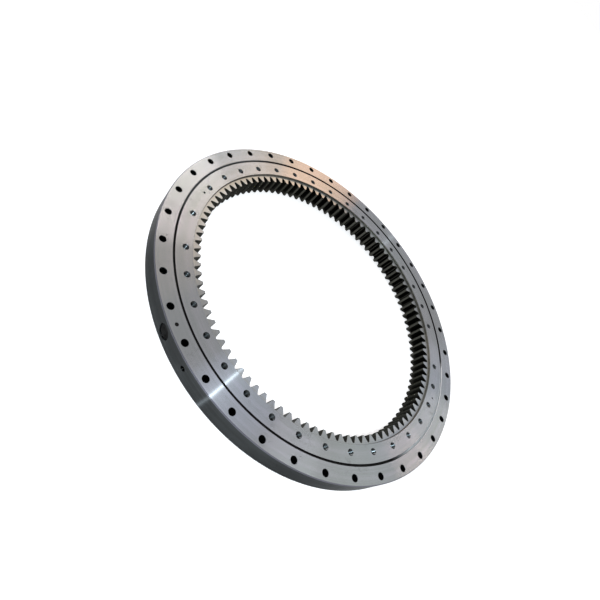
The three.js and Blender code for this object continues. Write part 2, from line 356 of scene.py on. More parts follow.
def tooth_space():
    """Half of one tooth space, in polar points from the tooth's tip to the middle of the root."""
    centre = ROOT_RADIUS - ROOT_FILLET
    land = space_half_angle(TIP_RADIUS) + TIP_BREAK / TIP_RADIUS
    points = [(TIP_RADIUS, land)]
    start = TIP_RADIUS + TIP_BREAK
    end = centre + ROOT_FILLET * math.sin(math.radians(FLANK_END_DEG))
    steps = 9
    for i in range(steps + 1):
        r = start + (end - start) * i / steps
        points.append((r, space_half_angle(r)))
    for deg in (40, 56, 73, 90):
        x = centre + ROOT_FILLET * math.sin(math.radians(deg))
        y = ROOT_FILLET * math.cos(math.radians(deg))
        points.append((math.hypot(x, y), math.atan2(y, x)))
    return points


def gear_outline():
    """The outline of all the tooth spaces together, anticlockwise."""
    half = tooth_space()
    points = []
    for i in range(TEETH):
        middle = TAU * i / TEETH
        points += [(r, middle - a) for r, a in half]
        points += [(r, middle + a) for r, a in reversed(half[:-1])]
        land = middle + TAU / TEETH / 2
        points.append((TIP_RADIUS, land))
    return [Vector((r * math.cos(a), r * math.sin(a))) for r, a in points]


def grown(outline, distance):
    """An anticlockwise outline moved outwards along its normals."""
    out = []
    for before, point, after in zip(outline[-1:] + outline[:-1], outline, outline[1:] + outline[:1]):
        along = (point - before).normalized() + (after - point).normalized()
        normal = Vector((along.y, -along.x)).normalized()
        out.append(point + normal * distance)
    return out


def gear_cutter():
    outline = gear_outline()
    broken = grown(outline, TOOTH_END_BREAK)
    levels = [
        (broken, -PAST), (broken, 0), (outline, TOOTH_END_BREAK),
        (outline, GEAR_TOP_Z - TOOTH_END_BREAK), (broken, GEAR_TOP_Z), (broken, INNER_TOP_Z + PAST),
    ]
    return prism("gear_cutter", [[(p.x, p.y, z) for p in ring] for ring, z in levels])


def thread_cutter(matrix, sides=20):
    """A cutter for a tapped hole: a helix of sharp crests, two rows of points to each turn."""
    turns = math.ceil(INNER_TOP_Z / THREAD_PITCH) + 4
    last = 2 * turns - 3
    verts = []
    for row in range(2 * turns):
        r = THREAD_MAJOR_RADIUS if row % 2 else THREAD_MINOR_RADIUS
        for i in range(sides):
            a = TAU * i / sides
            z = (row / 2 + i / sides - 2) * THREAD_PITCH
            verts.append(matrix @ Vector((r * math.cos(a), r * math.sin(a), z)))

    def at(row, i):
        return row * sides + i if i < sides else (row + 2) * sides

    faces = []
    for row in range(last):
        for i in range(sides):
            faces.append((at(row, i), at(row, i + 1), at(row + 1, i + 1), at(row + 1, i)))
    for row in (0, last):
        cap = [at(row, i) for i in range(sides)] + [at(row + 2, 0), at(row + 1, 0)]
        faces.append(cap if row else cap[::-1])
    thread = new_object("thread", verts, faces)
    mesh = bmesh.new()
    mesh.from_mesh(thread.data)
    bmesh.ops.delete(mesh, geom=[v for v in mesh.verts if not v.link_faces], context="VERTS")
    mesh.to_mesh(thread.data)
    mesh.free()
    return thread


def inner_hole_angles():
    grid = [deg for deg in range(0, 360, HOLE_GRID_DEG) if deg not in MISSING_HOLES_DEG]
    return grid + [ODD_HOLE_DEG]


def inner_gear_ring():
    rim = INNER_RADIUS
    groove = rim - GROOVE_DEPTH
    step_corner = (STEP_RADIUS - STEP_FILLET, GEAR_TOP_Z + STEP_FILLET)
    profile = [
        (BLANK_RADIUS, 0), (rim - EDGE_BREAK, 0), (rim, EDGE_BREAK),
        (rim, LOWER_GROOVE_Z), (groove, LOWER_GROOVE_Z),
        (groove, LOWER_GROOVE_Z + GROOVE_HEIGHT), (rim, LOWER_GROOVE_Z + GROOVE_HEIGHT),
        *race_arc(-1),
        (rim, INNER_TOP_Z - GAP_CHAMFER), (rim - GAP_CHAMFER, INNER_TOP_Z),
        (STEP_RADIUS + EDGE_BREAK, INNER_TOP_Z), (STEP_RADIUS, INNER_TOP_Z - EDGE_BREAK),
        *arc(step_corner, STEP_FILLET, 0, -90, steps=4),
        (BLANK_RADIUS, GEAR_TOP_Z),
    ]
    ring = turned("inner_gear_ring_turned", profile)
    cut(ring, [thread_cutter(at_angle(deg, INNER_BOLT_CIRCLE)) for deg in inner_hole_angles()])
    countersink = THREAD_MAJOR_RADIUS + EDGE_BREAK - PILOT_RADIUS
    sink = drill_profile(PILOT_RADIUS, 0, INNER_TOP_Z, countersink)
    cutters = []
    for deg in inner_hole_angles():
        cutters.append(turned("countersink", sink, HOLE_SEGMENTS, at_angle(deg, INNER_BOLT_CIRCLE)))
    for hole in (JACKING_HOLE, WITNESS_DIMPLE):
        radius = hole["radius"]
        floor_z = INNER_TOP_Z - hole["depth"]
        profile = blind_profile(radius, floor_z, INNER_TOP_Z, SMALL_HOLE_BREAK, 0.4 * radius)
        place_at = at_angle(hole["deg"], hole["circle"])
        cutters.append(turned("small_hole", profile, SMALL_HOLE_SEGMENTS, place_at))
    cut(ring, cutters)
    cut(ring, [gear_cutter()])
    return finished(ring)


# ---------- rolling row and seals ----------

def ball_mesh(cuts=7):
    """A ball of square patches, so that it is equally smooth all over."""
    mesh = bmesh.new()
    bmesh.ops.create_cube(mesh, size=2)
    bmesh.ops.subdivide_edges(mesh, edges=mesh.edges[:], cuts=cuts, use_grid_fill=True)
    for vert in mesh.verts:
        even = Vector(math.tan(c * math.pi / 4) for c in vert.co)
        vert.co = even.normalized() * BALL_RADIUS
    data = bpy.data.meshes.new("bearing_ball")
    mesh.to_mesh(data)
    mesh.free()
    data.shade_smooth()
    return data


def ball(data, number):
    """Its own Z is the line that it rolls about, square to the line between its two loaded contacts."""
    angle = TAU * (number - 1) / BALL_COUNT
    outwards = Vector((math.cos(angle), math.sin(angle), 0))
    obj = bpy.data.objects.new(f"bearing_ball_{number:02d}", data)
    bpy.context.scene.collection.objects.link(obj)
    obj.rotation_euler = (Vector((0, 0, 1)) - outwards).to_track_quat("Z", "X").to_euler()
    obj.location = outwards * BALL_CIRCLE_RADIUS + Vector((0, 0, RACE_Z))
    return obj


def ball_cage():
    inside = BALL_CIRCLE_RADIUS - CAGE_THICKNESS / 2
    outside = BALL_CIRCLE_RADIUS + CAGE_THICKNESS / 2
    low, high = RACE_Z - CAGE_HALF_HEIGHT, RACE_Z + CAGE_HALF_HEIGHT
    corners = (
        (outside - CAGE_ROUNDING, low + CAGE_ROUNDING, -90),
        (outside - CAGE_ROUNDING, high - CAGE_ROUNDING, 0),
        (inside + CAGE_ROUNDING, high - CAGE_ROUNDING, 90),
        (inside + CAGE_ROUNDING, low + CAGE_ROUNDING, 180),
    )
    profile = []
    for r, z, start in corners:
        profile += arc((r, z), CAGE_ROUNDING, start, start + 90, steps=3)
    cage = turned("cage_strip", profile)
    window = [
        (0, inside - PAST), (CAGE_WINDOW_RADIUS + PAST, inside - PAST),
        (CAGE_WINDOW_RADIUS, inside + CAGE_WINDOW_BREAK), (CAGE_WINDOW_RADIUS, outside - CAGE_WINDOW_BREAK),
        (CAGE_WINDOW_RADIUS + PAST, outside + PAST), (0, outside + PAST),
    ]
    cutters = []
    for i in range(BALL_COUNT):
        place_at = along_radius(360 / BALL_COUNT * i, RACE_Z)
        cutters.append(turned("window", window, WINDOW_SEGMENTS, place_at))
    cut(cage, cutters)
    return finished(cage)


def seal(name, root, neck, lip, face, tongue_near, tongue_far):
    """A tongue in one ring's groove, and a lip with a grease groove that rubs on the other ring.

    root and neck are the tongue's two ends. face is the height of the open face, and the tongue's near side
    is the one towards it.
    """
    x = math.copysign(MM, neck - lip)
    z = math.copysign(MM, tongue_near - face)
    profile = [
        (lip, face + 0.9 * z), (lip + 1.2 * x, face + 2.6 * z), (neck, tongue_far),
        (root, tongue_far), (root, tongue_near), (neck, tongue_near),
        (neck, face + 0.5 * z), (neck - 0.5 * x, face),
        (lip + 2.2 * x, face), (lip + 1.9 * x, face + 0.4 * z), (lip + 1.4 * x, face + 0.4 * z),
        (lip + 1.1 * x, face + 0.1 * z), (lip + 0.3 * x, face + 0.2 * z),
    ]
    return finished(turned(name, profile))


def upper_seal():
    low = UPPER_GROOVE_Z + SEAL_FIT
    high = UPPER_GROOVE_Z + GROOVE_HEIGHT - SEAL_FIT
    root = OUTER_BORE_RADIUS + GROOVE_DEPTH - SEAL_FIT
    neck = OUTER_BORE_RADIUS - SEAL_FIT
    lip = INNER_RADIUS + LIP_CLEARANCE
    return seal("upper_seal_lip", root, neck, lip, INNER_TOP_Z - SEAL_TOP_DEPTH, high, low)


def lower_seal():
    low = LOWER_GROOVE_Z + SEAL_FIT
    high = LOWER_GROOVE_Z + GROOVE_HEIGHT - SEAL_FIT
    root = INNER_RADIUS - GROOVE_DEPTH + SEAL_FIT
    neck = INNER_RADIUS + SEAL_FIT
    lip = OUTER_BORE_RADIUS - LIP_CLEARANCE
    return seal("lower_seal_lip", root, neck, lip, low - LOWER_SEAL_DROP, low, high)


# ---------- loading plug, pin and nipples ----------

def loading_plug():
    """Its own Z is the bearing's radius. Its inner end is cut to the raceway."""
    face = OUTER_RADIUS - PLUG_RECESS
    corner = 1 * MM
    profile = [
        (0, OUTER_BORE_RADIUS), (PLUG_RADIUS, OUTER_BORE_RADIUS), (PLUG_RADIUS, face - corner),
        (PLUG_RADIUS - corner, face), (0, face),
    ]
    plug = turned("loading_plug_turned", profile, PLUG_SEGMENTS)
    plug.matrix_world = along_radius(LOADING_DEG, RACE_Z)
    inside = BALL_CIRCLE_RADIUS - BALL_RADIUS
    groove = race_arc(1) + [(inside, RACE_Z + BALL_RADIUS), (inside, RACE_Z - BALL_RADIUS)]
    pin_hole = bar_profile(PIN_RADIUS + PIN_CLEARANCE, 0, OUTER_TOP_Z)
    cut(plug, [turned("race", groove)])
    cut(plug, [turned("pin_hole", pin_hole, PIN_SEGMENTS, at_angle(LOADING_DEG, OUTER_BOLT_CIRCLE))])
    return finished(plug)


def taper_pin():
    """A pin with a bevelled tail and head, and a drill mark in the middle of its head."""
    head = OUTER_TOP_Z - PIN_RECESS
    tail = PIN_RADIUS - PIN_TAPER * (head - PIN_BOTTOM_Z)
    tail_break = 0.6 * MM
    head_break = 0.5 * MM
    mark_radius = 1.4 * MM
    mark_depth = 0.8 * MM
    profile = [
        (0, PIN_BOTTOM_Z), (tail - tail_break, PIN_BOTTOM_Z), (tail, PIN_BOTTOM_Z + tail_break),
        (PIN_RADIUS, head - head_break), (PIN_RADIUS - head_break, head),
        (mark_radius, head), (0, head - mark_depth),
    ]
    pin = turned("taper_pin_turned", profile, PIN_SEGMENTS)
    pin.matrix_world = at_angle(LOADING_DEG, OUTER_BOLT_CIRCLE)
    return finished(pin)


def grease_nipple(number, deg):
    """A button head over a hexagon, standing on the seat of its port. Its own Z is the bearing's radius."""
    shank = DUCT_RADIUS - 0.8 * MM
    corner_radius = 6 * MM
    profile = [
        # shank, in the duct
        (0, -9 * MM), (shank - 0.5 * MM, -9 * MM), (shank, -8.5 * MM), (shank, 0.4 * MM),
        # what the hexagon is cut from
        (corner_radius - 0.4 * MM, 0.4 * MM), (corner_radius, 0.8 * MM), (corner_radius, 3.4 * MM),
        (corner_radius - 1 * MM, 4 * MM),
        # neck
        (2.8 * MM, 4 * MM), (2.2 * MM, 5 * MM), (2.2 * MM, 7.4 * MM),
        # button head, and the hole that the grease goes in by
        (3 * MM, 8.2 * MM), (3.3 * MM, 9 * MM), (2.9 * MM, 9.8 * MM), (1.6 * MM, 10.4 * MM),
        (0.6 * MM, 10.4 * MM), (0.6 * MM, 9.4 * MM), (0, 9.2 * MM),
    ]
    nipple = turned(f"grease_nipple_head_{number}", profile, NIPPLE_SEGMENTS)
    flat = corner_radius * math.cos(math.pi / 6)
    half_side = 1.1 * corner_radius / 2  # a little past the flat's corners
    beyond = flat + PAST
    section = [(flat, -half_side), (beyond, -half_side), (beyond, half_side), (flat, half_side)]
    for i in range(6):
        turn = Matrix.Rotation(TAU * i / 6, 3, "Z")
        side = [[turn @ Vector((x, y, z)) for x, y in section] for z in (-0.5 * MM, 4.5 * MM)]
        cut(nipple, [prism("side", side)])
    nipple.matrix_world = along_radius(deg, PORT_Z) @ Matrix.Translation((0, 0, OUTER_RADIUS - PORT_DEPTH))
    return finished(nipple)


# ---------- materials ----------

# The pale grey that the gap and the seals take along two stretches
PALE_GAP_COLOUR = (0.52, 0.54, 0.55, 1.0)
OIL_STAIN = (0.05, 0.045, 0.035, 1.0)

# Tints of grey
GREEN_GREY = (0.945, 1.0, 0.99)
LAVENDER_GREY = (1.0, 0.98, 1.06)
# The cool tint of steel painted dark as shade, on the outer wall, holes and threads
COOL_SHADE_GREY = (0.90, 1.0, 1.03)
OLIVE_GREY = (1.0, 1.0, 0.86)
VIOLET_GREY = (0.92, 0.94, 1.2)
STRAW_GREY = (1.0, 1.0, 0.93)
ICE_GREY = (0.97, 1.0, 1.02)

# Clean grooves round the axis, for machined
FACE_GROOVES = dict(share=0.5, level=0.56, roughness=0.143, anisotropy=0.8725)
GEAR_GROOVES = dict(share=0.35, level=0.56, roughness=0.143, anisotropy=0.8725)
WALL_GROOVES = dict(share=0.055, level=0.5, roughness=0.19, anisotropy=0.9)
EDGE_GROOVES = dict(share=0.14, level=0.5, roughness=0.155, anisotropy=0.85)

# Where the gap's pale stretches start, are full, start to fade and end, in degrees
FULL_PALE_DEG = (100, 112, 154, 160)
THIN_PALE_DEG = (-78, -62, -28, -12)

BORE_RUN = 0.04  # how fast marks along Z change along their run, against how fast they change across it
RING_RUN = 6 * MM  # the radius of the circle that noise is read round, for marks that go round a ring


def node(tree, kind, inputs=None, **settings):
    """A new shader node with its settings, and its inputs set to values or linked from sockets."""
    made = tree.nodes.new(kind)
    for name, value in settings.items():
        setattr(made, name, value)
    for key, value in (inputs or {}).items():
        if isinstance(value, bpy.types.NodeSocket):
            tree.links.new(value, made.inputs[key])
        else:
            made.inputs[key].default_value = value
    return made


def maths(tree, operation, *values):
    made = node(tree, "ShaderNodeMath", dict(enumerate(values)), operation=operation)
    return made.outputs[0]


def noise(tree, vector, scale, detail=3.0, roughness=0.55, distortion=0.0):
    inputs = {
        "Vector": vector,
        "Scale": scale,
        "Detail": detail,
        "Roughness": roughness,
        "Distortion": distortion,
    }
    return node(tree, "ShaderNodeTexNoise", inputs).outputs["Fac"]


def ramp(tree, value, low, high, to_low=0.0, to_high=1.0):
    """A smooth step from to_low to to_high as value goes from low to high."""
    inputs = {"Value": value, "From Min": low, "From Max": high, "To Min": to_low, "To Max": to_high}
    return node(tree, "ShaderNodeMapRange", inputs, interpolation_type="SMOOTHSTEP").outputs[0]


def mixed(tree, share, first, second):
    """The first colour, with a share of the second."""
    made = node(tree, "ShaderNodeMix", {0: share, 6: first, 7: second}, data_type="RGBA")
    return made.outputs[2]


def rgb(level, tint=(1.0, 1.0, 1.0)):
    """A grey level with a tint, as an opaque colour."""
    return (level * tint[0], level * tint[1], level * tint[2], 1.0)


def new_material(name):
    material = bpy.data.materials.new(name)
    material.use_nodes = True
    tree = material.node_tree
    tree.nodes.clear()
    shader = node(tree, "ShaderNodeBsdfPrincipled")
    output = node(tree, "ShaderNodeOutputMaterial")
    tree.links.new(shader.outputs[0], output.inputs[0])
    return material, tree, shader


def lay_vectors(tree, run):
    """Coordinates that change fast across the tool marks and slowly along them, and the plain position.

    run is "face" for rings on a flat face, "wall" for rings round a wall, and "bore" for marks along Z.
    """
    position = node(tree, "ShaderNodeTexCoord").outputs["Object"]
    x, y, z = node(tree, "ShaderNodeSeparateXYZ", {0: position}).outputs
    if run == "bore":
        slow_z = maths(tree, "MULTIPLY", z, BORE_RUN)
        return node(tree, "ShaderNodeCombineXYZ", {0: x, 1: y, 2: slow_z}).outputs[0], position
    flat = node(tree, "ShaderNodeCombineXYZ", {0: x, 1: y}).outputs[0]
    radius = node(tree, "ShaderNodeVectorMath", {0: flat}, operation="LENGTH").outputs["Value"]
    around = node(tree, "ShaderNodeVectorMath", {0: flat}, operation="NORMALIZE").outputs[0]
    slow = node(tree, "ShaderNodeVectorMath", {0: around, "Scale": RING_RUN}, operation="SCALE").outputs[0]
    across = radius if run == "face" else z
    far_along_z = node(tree, "ShaderNodeCombineXYZ", {2: across}).outputs[0]
    lay = node(tree, "ShaderNodeVectorMath", {0: slow, 1: far_along_z}, operation="ADD").outputs[0]
    return lay, position


def pale_gap_stretch(tree, position, thinly):
    """How far the gap between the rings is made pale, with ragged ends.

    It is fully pale along one stretch, and by the share thinly along the other.
    """
    x, y = node(tree, "ShaderNodeSeparateXYZ", {0: position}).outputs[:2]
    angle = maths(tree, "ARCTAN2", y, x)
    ragged = maths(tree, "MULTIPLY_ADD", noise(tree, position, 30.0, detail=4.0), 0.12, angle)

    def stretch(angles_deg, most):
        start, full, fading, end = [math.radians(deg) for deg in angles_deg]
        starts = ramp(tree, ragged, start, full, to_high=most)
        ends = ramp(tree, ragged, fading, end, to_low=1.0, to_high=0.0)
        return maths(tree, "MULTIPLY", starts, ends)

    thick = stretch(FULL_PALE_DEG, 1.0)
    thin = stretch(THIN_PALE_DEG, thinly)
    return maths(tree, "ADD", thick, thin)


def machined(name, dark, light, roughness, run="face", anisotropy=0.0, mark_pitch=0.9 * MM,
             mark_depth=4 * MICRON, stain=0.25, grooves=None, with_pale_gap=False, grazing=0.15):
    """Bare steel with tool marks, a tone that drifts, and smudges of the oil that keeps it from rusting.

    grooves gives the share of the surface that lies in clean grooves round the axis, with their grey level,
    roughness and anisotropy. They mirror a small light as one narrow ray across the ring, and their surface
    needs an anisotropy too. grazing is what it mirrors edge on; it is set low on most surfaces that are
    painted dark as shade, so that they don't mirror the bright floor edge on.
    """
    material, tree, shader = new_material(name)
    lay, position = lay_vectors(tree, run)
    marks = noise(tree, lay, 1 / mark_pitch, detail=2.0, roughness=0.6)
    bands = noise(tree, lay, 0.09 / mark_pitch, detail=3.0, roughness=0.6)
    clouds = noise(tree, position, 7.0, detail=5.0, roughness=0.6, distortion=0.4)
    smudges = ramp(tree, noise(tree, position, 26.0, detail=6.0, roughness=0.62, distortion=0.8), 0.56, 0.78)
    tone = maths(tree, "ADD", maths(tree, "MULTIPLY", bands, 0.55), maths(tree, "MULTIPLY", clouds, 0.45))
    colour = mixed(tree, ramp(tree, tone, 0.36, 0.64), dark, light)
    fine = maths(tree, "MULTIPLY", ramp(tree, marks, 0.3, 0.75), 0.12)
    colour = mixed(tree, fine, colour, dark)
    stained = maths(tree, "MULTIPLY", smudges, stain)
    colour = mixed(tree, stained, colour, OIL_STAIN)
    if with_pale_gap:
        colour = mixed(tree, pale_gap_stretch(tree, position, thinly=0.5), colour, PALE_GAP_COLOUR)
    tree.links.new(colour, shader.inputs["Base Color"])
    shader.inputs["Metallic"].default_value = 1.0
    shader.inputs["Specular Tint"].default_value = rgb(grazing)
    rough = maths(tree, "MULTIPLY_ADD", marks, 0.06, roughness - 0.03)
    rough = maths(tree, "MULTIPLY_ADD", smudges, 0.06, rough)
    tree.links.new(rough, shader.inputs["Roughness"])
    if anisotropy:
        shader.inputs["Anisotropic"].default_value = anisotropy
        shader.inputs["Anisotropic Rotation"].default_value = 0.25
        tangent = node(tree, "ShaderNodeTangent", direction_type="RADIAL", axis="Z")
        tree.links.new(tangent.outputs[0], shader.inputs["Tangent"])
    height = maths(tree, "MULTIPLY_ADD", bands, 1.5, marks)
    bump = node(tree, "ShaderNodeBump", {"Strength": 0.6, "Distance": mark_depth, "Height": height})
    tree.links.new(bump.outputs[0], shader.inputs["Normal"])
    if grooves:
        glint = mixed(tree, stained, rgb(grooves["level"]), OIL_STAIN)
        sockets = {"Color": glint, "Normal": bump.outputs[0], "Tangent": tangent.outputs[0]}
        clean = node(tree, "ShaderNodeBsdfAnisotropic", sockets)
        clean.inputs["Roughness"].default_value = grooves["roughness"]
        clean.inputs["Anisotropy"].default_value = grooves["anisotropy"]
        shares = {0: grooves["share"], 1: shader.outputs[0], 2: clean.outputs[0]}
        both = node(tree, "ShaderNodeMixShader", shares)
        tree.links.new(both.outputs[0], tree.nodes["Material Output"].inputs[0])
    return material


def rubber(name):
    """Nitrile rubber, wet with grease in places, and made pale along one stretch."""
    material, tree, shader = new_material(name)
    lay, position = lay_vectors(tree, "face")
    pale_share = pale_gap_stretch(tree, position, thinly=0.1)
    grease = ramp(tree, noise(tree, position, 40.0, detail=4.0), 0.45, 0.65)
    grain = noise(tree, position, 2500.0, detail=2.0)
    flow = noise(tree, lay, 500.0, detail=2.0)
    colour = mixed(tree, grease, rgb(0.006), rgb(0.012, (1.0, 0.95, 0.85)))
    tree.links.new(mixed(tree, pale_share, colour, PALE_GAP_COLOUR), shader.inputs["Base Color"])
    rough = ramp(tree, grease, 0.0, 1.0, to_low=0.7, to_high=0.45)
    tree.links.new(maths(tree, "MAXIMUM", rough, pale_share), shader.inputs["Roughness"])
    shader.inputs["Specular IOR Level"].default_value = 0.12
    height = maths(tree, "ADD", maths(tree, "MULTIPLY", grain, 0.4), flow)
    bump = node(tree, "ShaderNodeBump", {"Strength": 0.5, "Distance": 20 * MICRON, "Height": height})
    tree.links.new(bump.outputs[0], shader.inputs["Normal"])
    return material


def ball_steel(name):
    """Ground and lapped steel under a film of grease, with a faint track round the middle where it rolls."""
    material, tree, shader = new_material(name)
    position = node(tree, "ShaderNodeTexCoord").outputs["Object"]
    z = node(tree, "ShaderNodeSeparateXYZ", {0: position}).outputs[2]
    track = ramp(tree, maths(tree, "ABSOLUTE", z), 0.9 * MM, 1.6 * MM)
    film = ramp(tree, noise(tree, position, 60.0, detail=4.0, roughness=0.6, distortion=0.5), 0.42, 0.66)
    lapping = noise(tree, position, 1800.0, detail=2.0)
    colour = mixed(tree, film, rgb(0.72, (1.0, 1.0, 1.02)), rgb(0.52, (1.0, 0.94, 0.82)))
    colour = mixed(tree, maths(tree, "MULTIPLY", track, 0.12), rgb(0.62), colour)
    tree.links.new(colour, shader.inputs["Base Color"])
    shader.inputs["Metallic"].default_value = 1.0
    rough = maths(tree, "MULTIPLY_ADD", film, 0.16, 0.07)
    rough = maths(tree, "MULTIPLY_ADD", track, -0.03, rough)
    tree.links.new(rough, shader.inputs["Roughness"])
    bump = node(tree, "ShaderNodeBump", {"Strength": 0.15, "Distance": 3 * MICRON, "Height": lapping})
    tree.links.new(bump.outputs[0], shader.inputs["Normal"])
    return material


def strip_steel(name):
    """Cold-rolled strip: fine scratches along the strip, and grease."""
    material, tree, shader = new_material(name)
    lay, position = lay_vectors(tree, "wall")
    scratches = noise(tree, lay, 1500.0, detail=4.0, roughness=0.7)
    grease = ramp(tree, noise(tree, position, 22.0, detail=5.0, roughness=0.6, distortion=0.6), 0.45, 0.62)
    colour = mixed(tree, scratches, rgb(0.34, (1.0, 1.0, 1.03)), rgb(0.48))
    colour = mixed(tree, maths(tree, "MULTIPLY", grease, 0.5), colour, rgb(0.22, (1.0, 0.8, 0.5)))
    tree.links.new(colour, shader.inputs["Base Color"])
    shader.inputs["Metallic"].default_value = 1.0
    tree.links.new(ramp(tree, grease, 0.0, 1.0, to_low=0.36, to_high=0.22), shader.inputs["Roughness"])
    bump = node(tree, "ShaderNodeBump", {"Strength": 0.4, "Distance": 4 * MICRON, "Height": scratches})
    tree.links.new(bump.outputs[0], shader.inputs["Normal"])
    return material


def plated_steel(name):
    """Yellow zinc plate, worn through in places, with its colours painted almost black as shade in the port
    that it sits in.
    """
    material, tree, shader = new_material(name)
    position = node(tree, "ShaderNodeTexCoord").outputs["Object"]
    hue = noise(tree, position, 320.0, detail=3.0)
    wear = ramp(tree, noise(tree, position, 900.0, detail=4.0, roughness=0.65), 0.52, 0.68)
    # Painted shade: near-black plate colours, for the shade in the port
    colour = mixed(tree, hue, rgb(0.014, (1.0, 0.85, 0.5)), rgb(0.010, (0.95, 1.0, 0.7)))
    colour = mixed(tree, wear, colour, rgb(0.008))
    tree.links.new(colour, shader.inputs["Base Color"])
    shader.inputs["Metallic"].default_value = 1.0
    shader.inputs["Specular Tint"].default_value = rgb(0.15)
    tree.links.new(ramp(tree, wear, 0.0, 1.0, to_low=0.45, to_high=0.6), shader.inputs["Roughness"])
    bump = node(tree, "ShaderNodeBump", {"Strength": 0.3, "Distance": 10 * MICRON, "Height": wear})
    tree.links.new(bump.outputs[0], shader.inputs["Normal"])
    return material


FACE = machined(
    "turned_face", dark=rgb(0.51, GREEN_GREY), light=rgb(0.65, LAVENDER_GREY), roughness=0.25,
    anisotropy=0.95, grooves=FACE_GROOVES, grazing=1.0,
)
# Painted shade: the outer wall is the same turned steel as the faces, its base colour darkened to stand in
# for the dark surroundings that it mirrors.
WALL = machined(
    "turned_wall", dark=rgb(0.026, COOL_SHADE_GREY), light=rgb(0.052, COOL_SHADE_GREY), roughness=0.34,
    run="wall", anisotropy=0.5, grooves=WALL_GROOVES, grazing=0.4,
)
# Painted shade: the outer ring's chamfers are the same steel as the faces, darkened to stand in for the dark
# that they mirror.
EDGE = machined(
    "edge_break", dark=rgb(0.09, VIOLET_GREY), light=rgb(0.15, VIOLET_GREY), roughness=0.4,
    run="wall", anisotropy=0.5, grooves=EDGE_GROOVES, grazing=0.5,
)
# Painted shade: the walls of the narrow gap between the rings are steel darkened almost to black for the
# shade in the gap; along two stretches they are made pale.
GAP = machined(
    "gap_wall", dark=rgb(0.008), light=rgb(0.02), roughness=0.45,
    run="wall", with_pale_gap=True,
)
# Painted shade: the bores of the outer ring's holes and ports are the same steel as the faces, darkened for
# the shade inside them.
HOLE = machined(
    "drilled_hole", dark=rgb(0.026, COOL_SHADE_GREY), light=rgb(0.052, COOL_SHADE_GREY), roughness=0.4,
    run="wall", mark_pitch=0.6 * MM, mark_depth=8 * MICRON, stain=0.5,
)
# Painted shade: the tapped and small holes of the inner ring are the same steel as the faces, darkened for
# the shade inside them.
THREAD = machined(
    "cut_thread", dark=rgb(0.058, COOL_SHADE_GREY), light=rgb(0.10, COOL_SHADE_GREY), roughness=0.27,
    run="wall", mark_pitch=0.5 * MM, mark_depth=5 * MICRON, stain=0.5,
)
RACE = machined(
    "ground_race", dark=rgb(0.6), light=rgb(0.7), roughness=0.16,
    run="wall", anisotropy=0.4, mark_pitch=0.3 * MM, mark_depth=1 * MICRON, stain=0.4, grazing=1.0,
)
# Painted shade: the tooth flanks are the same steel as the gear face, darkened nearly to black for the shade
# between the teeth and the dark that they mirror.
FLANK = machined(
    "shaped_flank", dark=rgb(0.012, OLIVE_GREY), light=rgb(0.035, OLIVE_GREY), roughness=0.36,
    run="bore", mark_pitch=0.8 * MM, mark_depth=10 * MICRON, stain=0.5, grazing=0.5,
)
# Painted shade: the tooth tips and end bevels are the same steel as the gear face, darkened for the shade
# among the teeth.
TIP = machined(
    "tooth_edge", dark=rgb(0.035, OLIVE_GREY), light=rgb(0.06, OLIVE_GREY), roughness=0.4,
    run="bore", mark_pitch=0.8 * MM, mark_depth=6 * MICRON,
)
GEAR_FACE = machined(
    "gear_face", dark=rgb(0.54, STRAW_GREY), light=rgb(0.62, ICE_GREY), roughness=0.28,
    anisotropy=0.85, grooves=GEAR_GROOVES, grazing=1.0,
)
# Painted shade: the step wall is the same steel as the faces, darkened as painted shade on this narrow
# upright band.
STEP = machined(
    "step_wall", dark=rgb(0.07, OLIVE_GREY), light=rgb(0.12, OLIVE_GREY), roughness=0.4,
    run="wall", grazing=1.0,
)
# Painted shade: the plug's face, sunk in its recess, is steel darkened for the shade in the recess.
PLUG = machined(
    "plug_face", dark=rgb(0.022), light=rgb(0.042), roughness=0.36,
    anisotropy=0.5, mark_pitch=0.7 * MM, mark_depth=5 * MICRON, stain=0.4, grazing=0.3,
)
# Painted shade: the pin's head, sunk in its hole, is steel darkened for the shade in the hole.
PIN = machined(
    "pin_steel", dark=rgb(0.015), light=rgb(0.03), roughness=0.4,
    mark_pitch=0.4 * MM, stain=0.5,
)
SEAL = rubber("nitrile_rubber")
BALL = ball_steel("lapped_ball_steel")
CAGE = strip_steel("rolled_strip_steel")
NIPPLE = plated_steel("yellow_zinc")

LEVEL = 0.99  # the upward slope past which a patch lies level
BEVELLED = 0.2  # the upward slope past which a patch of a tooth is its end bevel
UPRIGHT = 0.1  # the upward slope under which a patch stands upright
SQUARE = 0.05  # the slope around the axis under which a patch is turned, not drilled


def ring_surface(centre, normal):
    """How far a patch is from the axis, and its slopes around and upwards."""
    outwards = Vector((centre.x, centre.y, 0)).normalized()
    around = Vector((-outwards.y, outwards.x, 0))
    return math.hypot(centre.x, centre.y), abs(normal.dot(around)), abs(normal.z)


def race_or_gap(centre):
    return RACE if abs(centre.z - RACE_Z) < BALL_RADIUS + MM else GAP


def outer_ring_finish(centre, normal):
    r, around, up = ring_surface(centre, normal)
    if up > LEVEL:
        return FACE
    if r > OUTER_RADIUS - 0.1 * MM and around < SQUARE and up < UPRIGHT:
        return WALL
    from_face = min(OUTER_TOP_Z - centre.z, centre.z - OUTER_BOTTOM_Z)
    if r > OUTER_RADIUS - 1.2 * EDGE_CHAMFER and from_face < 2 * EDGE_CHAMFER:
        return EDGE
    if r < OUTER_BORE_RADIUS + BALL_RADIUS and around < SQUARE:
        return race_or_gap(centre)
    return HOLE


